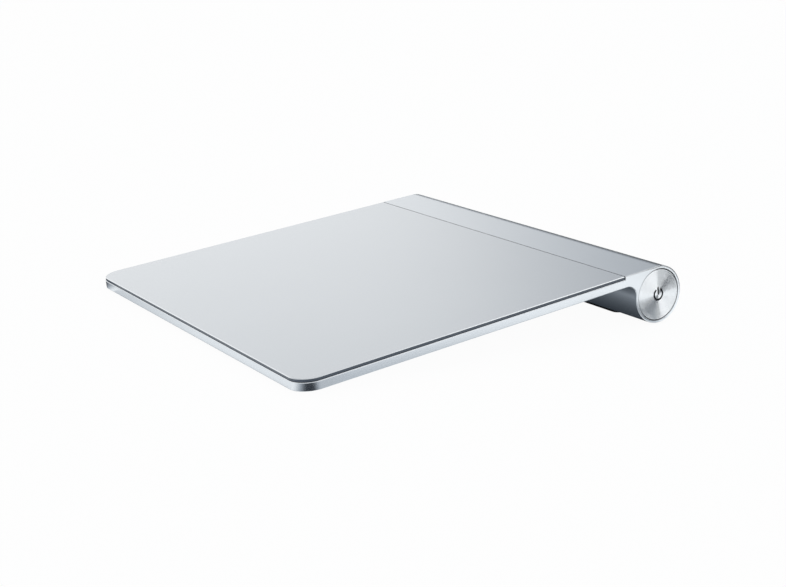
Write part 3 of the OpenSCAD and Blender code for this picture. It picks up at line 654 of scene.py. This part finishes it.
# The battery cap is turned from aluminium and spun, with a slot for a coin milled across its face. A
# tin cup in its hollow carries the coned steel spring that presses on the cells.
cap_x, cap_rim_t, cap_l, cap_r, cap_step, hollow_r, cap_edge = -65.45, 1.6, 6.5, 7.85, 0.25, 6.2, 0.15
coin_half, coin_deep, coin_r, slot_steps = 1.0, 1.0, 7.0, 41
reach = math.sqrt(coin_r ** 2 - (coin_r - coin_deep) ** 2)
slot_y = reach * np.sin(np.linspace(-math.pi / 2, math.pi / 2, slot_steps))
slot_deep = np.sqrt(coin_r ** 2 - slot_y ** 2) - (coin_r - coin_deep)
slot_floor = np.stack([np.stack([cap_x + slot_deep, slot_y, np.full(slot_steps, z)], -1)
                       for z in (-coin_half, coin_half)])
slot_mouth = slot_floor * [0, 1, 1] + [cap_x, 0, 0]
slot_sides = [np.stack([slot_mouth[k], slot_floor[k]]) for k in (0, 1)]
cap_inner, cap_end, thread_r = cap_x + cap_rim_t, cap_x + cap_l, cap_r - cap_step
cap_body = turned(np.concatenate([
    np.column_stack([cap_x + cap_edge * round_off, cap_r - cap_edge * round_in]),
    [[cap_inner, cap_r], [cap_inner, thread_r], [cap_end, thread_r], [cap_end, hollow_r],
     [cap_inner, hollow_r], [cap_inner, 0]]]), 192)
mouth = np.concatenate([slot_mouth[0], slot_mouth[1, ::-1][1:-1]])
cap = welded("coin_slot_cap", [
    sheet(cap_body, True), flat(cap_body[0], mouth), (*sheet(slot_floor), 1),
    *((*sheet(wall), 1) for wall in slot_sides)], in_tube)


def spun_plain(place):
    """The same spun face as the button's."""
    radius, normal = spun(place)
    return {"Base Color": radius.grain(50).between((0.85, 0.865, 0.88, 1), (0.87, 0.885, 0.90, 1)),
            "Normal": normal}


def milled_and_shaded(place):
    """The cutter's fine lines along the slot, in metal painted darker than the spun face as painted
    shade in the recess.
    """
    lines = place.grain(5000, stretch=(1, 0.05, 1))
    return {"Base Color": lines.between((0.36, 0.37, 0.39, 1), (0.48, 0.49, 0.51, 1)),
            "Roughness": 0.32 + 0.12 * lines}


cap.data.materials.append(finish("spun_cap", {"Metallic": 1, "Roughness": 0.2}, spun_plain))
# The slot's darker base colour is painted shade in the recess; its fine lines are the cutter's
cap.data.materials.append(finish("milled_slot_painted_shade", {"Metallic": 1}, milled_and_shaded))
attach(cap, "screw_cap")
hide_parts("battery_cap")

wire_r, coil_start, coil_end = 0.4, -63.2, -57.45
coil_wide, coil_narrow, coil_turns = 5.2, 3.0, 5


def coil(steps=48, sides=12):
    """A wire carried along a coned helix: one flat turn at each end, and the radius shrinking
    evenly from turn to turn."""
    turn = np.linspace(0, coil_turns, coil_turns * steps + 1)[:, None]
    rise = np.clip((turn - 1) / (coil_turns - 2), 0, 1)
    round_wire = np.linspace(0, 2 * math.pi, sides, endpoint=False)
    out = coil_wide + (coil_narrow - coil_wide) * turn / coil_turns + wire_r * np.cos(round_wire)
    along = coil_start + (coil_end - coil_start) * rise + wire_r * np.sin(round_wire)
    return np.stack([along, out * np.cos(2 * math.pi * turn), out * np.sin(2 * math.pi * turn)], -1)


wire = coil()
spring = welded("coned_spring", [sheet(wire, True), flat(wire[0]), flat(wire[-1])], in_tube)
spring.data.materials.append(spring_steel)
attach(spring, "cap_spring")
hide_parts("negative_spring")

# The studio: a white paper floor under a soft light tent, darker at its back. Five cards and a flag
# glow where only the metal mirrors them, as painted reflections: their greys and blacks are painted
# shade standing in for the shadow on the floor round and under the object, and give its sides and its
# underside their shading.
floor_half, floor_z, card_z = 6000, -0.05, -0.02
paper_seen, paper_mirrored = 0.96, 0.25


def laid(name, material, *grids):
    """A flat stage piece from grids of points in millimetres, facing up, in a finish."""
    piece = welded(name, [sheet(grid) for grid in grids], place=lambda points: points / 1000)
    piece.modifiers.clear()
    if piece.data.polygons[0].normal.z < 0:
        piece.data.flip_normals()
    piece.data.materials.append(material)
    return piece


def level(x, y, z):
    """A level grid of points from its places along x and along y."""
    return np.stack([*np.meshgrid(x, y), np.full((len(y), len(x)), z)], -1)


def paper_fibre(place):
    """White paper with a barely visible fibre."""
    return {"Base Color": place.grain(300).between((0.92, 0.92, 0.92, 1), (0.935, 0.935, 0.935, 1))}


paper = finish("paper", {"Roughness": 1, "Specular IOR Level": 0}, paper_fibre)
ray = Tone(paper.node_tree)
lit = Tone(paper.node_tree, paper.node_tree.nodes["Principled BSDF"].outputs[0])
seen = ray.node("LightPath", out="Is Camera Ray") + ray.node("LightPath", out="Is Transmission Ray")
share = paper_seen * seen + paper_mirrored * ray.node("LightPath", out="Is Glossy Ray")
blend = ray.node("MixShader", {}, {0: share, 1: lit, 2: ray.node("Emission", {}, {"Strength": 1.0})})
paper.node_tree.links.new(blend.socket, paper.node_tree.nodes["Material Output"].inputs["Surface"])
span = np.linspace(-floor_half, floor_half, 3)
laid("paper_floor", paper, level(span, span, floor_z))


def card(name, shade, *grids, white=1.0):
    """A glowing card that only reflections see: a painted reflection from black through a cool grey
    to white as its shade says."""
    def varied(place):
        tone = shade(place.dot((1000, 0, 0)), place.dot((0, 1000, 0)))
        stops = [(0, (0.006, 0.011, 0.018, 1)), (0.4, (0.362, 0.402, 0.446, 1)),
                 (1, (0.95, 0.985, 1.01, 1))]
        return {"Emission Color": tone.node("ValToRGB", {"stops": stops}, {0: tone})}

    fixed = {"Base Color": (0, 0, 0, 1), "Specular IOR Level": 0, "Emission Strength": white}
    piece = laid(name, finish(name, fixed, varied), *grids)
    piece.visible_camera = piece.visible_diffuse = piece.visible_shadow = False
    piece.visible_transmission = piece.visible_volume_scatter = False


def under_shade(x, y):
    """Painted shadow under the plate: nearly black at the tube, lighter towards the front and at the
    right end.
    """
    shade = 0.01 + (1 - y.step(20, 60)) * (0.18 + 0.08 * x.step(20, 64)) + 0.1 * (1 - y.step(0, 25))
    return shade + 0.6 * x.step(59, 64) * (1 - y.step(36, 46))


def side_shade(x, y):
    """Painted shadow of the plate on the floor: grey beside the plate, rising to white a few fingers
    away and behind the tube. Before each end of the tube lies a painted dark wedge with a light
    streak along it, for the spun face to mirror."""
    off = x.math("ABSOLUTE", x) - half_w
    grey = (0.5 + 0.2 * y.step(36, 46)) * (1 - off.step(6, 38)) * (1 - y.step(52, 72))
    shade = 1 - grey * (1 - (1 - off.step(1.5, 4)) * y.step(15, 35)) + 0.4 * y.step(35, 65)
    away = y - button_at[1]
    angle = x.math("ARCTAN2", away, off) * (180 / math.pi)
    far = x.math("SQRT", off * off + away * away)
    wide = angle.step(-60, -25) * (1 - (angle + 22 * far.step(8, 16)).step(57, 64))
    streak = (1 - x.math("ABSOLUTE", angle - 4).step(5, 14)) * far.step(3, 6) * (1 - far.step(15, 20))
    depth = (0.5 + 0.5 * far.step(3, 8)) * wide * (1 - 0.8 * streak)
    return shade * (1 - depth * (1 - far.step(17, 29)))


def front_shade(x, y):
    """Painted shade on the floor before the plate: light grey at the left, nearly white at the right,
    darker against the plate's edge.
    """
    return (0.72 + 0.21 * x.step(-66, 20)) * (1 - 0.4 * y.step(-66.4, -65.7))


def corner_shade(x, y):
    """Painted shade round the front corners, by the angle round the corner from the front: white,
    black at the corner itself, then the side card's grey. Less at the left."""
    out, front = x.math("ABSOLUTE", x) - corner_at[0], corner_at[1] - y
    angle = x.math("ARCTAN2", out, front) * (180 / math.pi)
    on_right = x.step(-1, 1)
    right = on_right * (angle.step(-8, 55) - 0.53 * angle.step(72, 106))
    return 1.02 - right - (1 - on_right) * angle.step(-5, 60)


def back_shade(x, y):
    """Painted shade behind the tube, for the metal to mirror: nearly black, lighter far off to the
    left.
    """
    return 0.02 + 0.6 * (1 - x.step(-330, -60))


corner_at = (half_w - corner_r, plate_y + corner_r * math.cos(tilt))
button_at = (half_w, plate_y + tube_y * math.cos(tilt) + tube_r * math.sin(tilt))
other_side, fan_steps = np.array([-1, 1, 1]), 24


def fan(centre, angles, r, rise):
    """A sheet round a point: each row at its distances, in even bearings between two from the
    front, and at its height."""
    turn = np.radians(np.linspace(*angles, fan_steps))
    return np.stack(np.broadcast_arrays(
        centre[0] + r * np.sin(turn), centre[1] - r * np.cos(turn),
        np.reshape(rise, (len(rise), -1))), -1)


def oblong(x_from, x_to, y_from, y_to):
    """A level card between two places along x and two along y."""
    return level(np.linspace(x_from, x_to, 3), np.linspace(y_from, y_to, 3), card_z)


# The back card, its cove and the flag are painted shade behind the tube, seen only in reflections
# The back card turns up into a cove behind the button, and the flag stands between the two
over_z, cove_r, cove_top, flag_r, flag_low = card_z + 0.01, 120, 95, 44, 15
corner_fan = fan(corner_at, (-8, 124), np.array([[6.4], [45]]), [over_z, over_z])
side_oblong = oblong(half_w + 0.5, half_w + 160, -57, 110)
back_near = np.linspace(170, -180, fan_steps).clip(48, 118)
back_far = np.full(fan_steps, cove_r)
back_cove = fan(button_at, (128, 172), np.stack([back_near, back_far, back_far]),
                [over_z, over_z, cove_top])
flag_top = np.linspace(120, -20, fan_steps).clip(33, 66)
back_flag = fan(button_at, (129.5, 188), np.array([[flag_r], [flag_r]]),
                np.stack([np.full(fan_steps, flag_low), flag_top]))
card("under_card", under_shade, oblong(-65, 65, -64.9, 60))
card("back_card", back_shade, back_cove, back_flag, oblong(-490, 20, 112, 500))
card("side_card", side_shade, side_oblong, side_oblong * other_side, white=1.12)
card("front_card", front_shade, oblong(-58, 58, -90, -65.6))
card("corner_card", corner_shade, corner_fan, corner_fan * other_side)


def bearing(azimuth, elevation=0):
    """A direction: azimuth in degrees from the front, -y, towards the right, +x, and elevation
    above the floor."""
    a, e = math.radians(azimuth), math.radians(elevation)
    return (math.sin(a) * math.cos(e), -math.cos(a) * math.cos(e), math.sin(e))


# The tent is lit in patches: its left, its right side, the top and a few smaller ones
tent = bpy.data.worlds.new("light_tent")
bpy.context.scene.world = tent
tent.use_nodes = True
sky = Tone(tent.node_tree).node("TexCoord", out="Generated")
height = sky.dot((0, 0, 1))


def towards(azimuth, elevation, low, high):
    """A patch of the tent: its direction's share along a bearing, as a smooth step from low to
    high."""
    return sky.dot(bearing(azimuth, elevation)).step(low, high)


left = towards(265, 0, -0.1, 0.3) * towards(330, 0, -0.325, 0.01)
left = left * (1 - 0.25 * towards(320, 0, 0.75, 0.9))
horizon = (1 - height.step(0.17, 0.33)) * towards(222, 0, 0.93, 0.97)
right_side = towards(42, 0, -0.01, 0.05) * towards(95, 0, 0.5, 0.7) * (1 - height.step(0.72, 0.84))
right_side_glow = (0.5 + 0.35 * towards(120, 12, 0.82, 0.95)) * (1 - 0.3 * height.step(0.5, 0.6))
zenith = height.step(0.72, 0.88) * (1 - 0.8 * towards(170, 0, 0.25, 0.5))
rear_top = towards(208, 0, 0, 0.2) * towards(72, 0, 0, 0.12)
rear_top = rear_top * height.step(0.62, 0.74) * (1 - height.step(0.8, 0.92))
front_low = towards(15, 0, 0.6, 0.8) * height.step(0.05, 0.12) * (1 - right_side)
glow = 0.25 + left * (0.83 - 0.39 * height.step(0.22, 0.5) - 0.28 * height.step(0.7, 0.88))
glow = glow * (1 - 0.85 * horizon) + right_side * right_side_glow + 0.55 * zenith + rear_top
glow = glow + 0.35 * towards(292, 33, 0.92, 0.975) + 0.55 * towards(182, 42, 0.84, 0.93)
glow = glow + 0.55 * front_low
seen = sky.node("LightPath", out="Is Camera Ray") + sky.node("LightPath", out="Is Transmission Ray")
background = tent.node_tree.nodes["Background"]
tent.node_tree.links.new((glow * (1 - seen) + seen).socket, background.inputs["Strength"])
cloth = glow.step(0.3, 1).between((0.88, 0.955, 1.05, 1), (0.985, 1.0, 1.01, 1))
cloth = seen.between(cloth, (1, 1, 1, 1))
tent.node_tree.links.new(cloth.socket, background.inputs["Color"])

# The camera stands where the photograph's stood, as fitted to the plate's edges, its corners, the
# seam and the tube's end: a bearing, a distance and a slide in millimetres, a focal length in pixels.
eye_az, eye_el, eye_roll, eye_far, eye_f = 55.4238, 16.9873, -4.7868, 442.2851, 1420.9003
aim, slide_right, slide_up = (0, 65, -3), 28.349, 8.2563
centre_px, picture, sensor = (470, 250), (786, 587), 36
back = np.array(bearing(eye_az, eye_el))
across = np.array([math.cos(math.radians(eye_az)), math.sin(math.radians(eye_az)), 0])
above = np.cross(back, across)
roll = math.radians(eye_roll)
right = across * math.cos(roll) + above * math.sin(roll)
upward = above * math.cos(roll) - across * math.sin(roll)
spot = np.array(aim) + back * eye_far + right * slide_right + upward * slide_up
leaned = np.array([[1, 0, 0], [0, math.cos(tilt), -math.sin(tilt)],
                   [0, math.sin(tilt), math.cos(tilt)]])
lens = bpy.data.cameras.new("photo_camera")
lens.sensor_width, lens.lens = sensor, sensor * eye_f / picture[0]
lens.shift_x = (picture[0] / 2 - centre_px[0]) / picture[0]
lens.shift_y = (centre_px[1] - picture[1] / 2) / picture[0]
lens.clip_start, lens.clip_end = 0.01, 30
camera = bpy.data.objects.new("photo_camera", lens)
bpy.context.scene.collection.objects.link(camera)
turn = leaned @ np.column_stack([right, upward, back])
camera.matrix_world = Matrix.Translation(stance(spot)) @ Matrix(turn.tolist()).to_4x4()
bpy.context.scene.camera = camera
bpy.context.scene.view_settings.view_transform = "Standard"
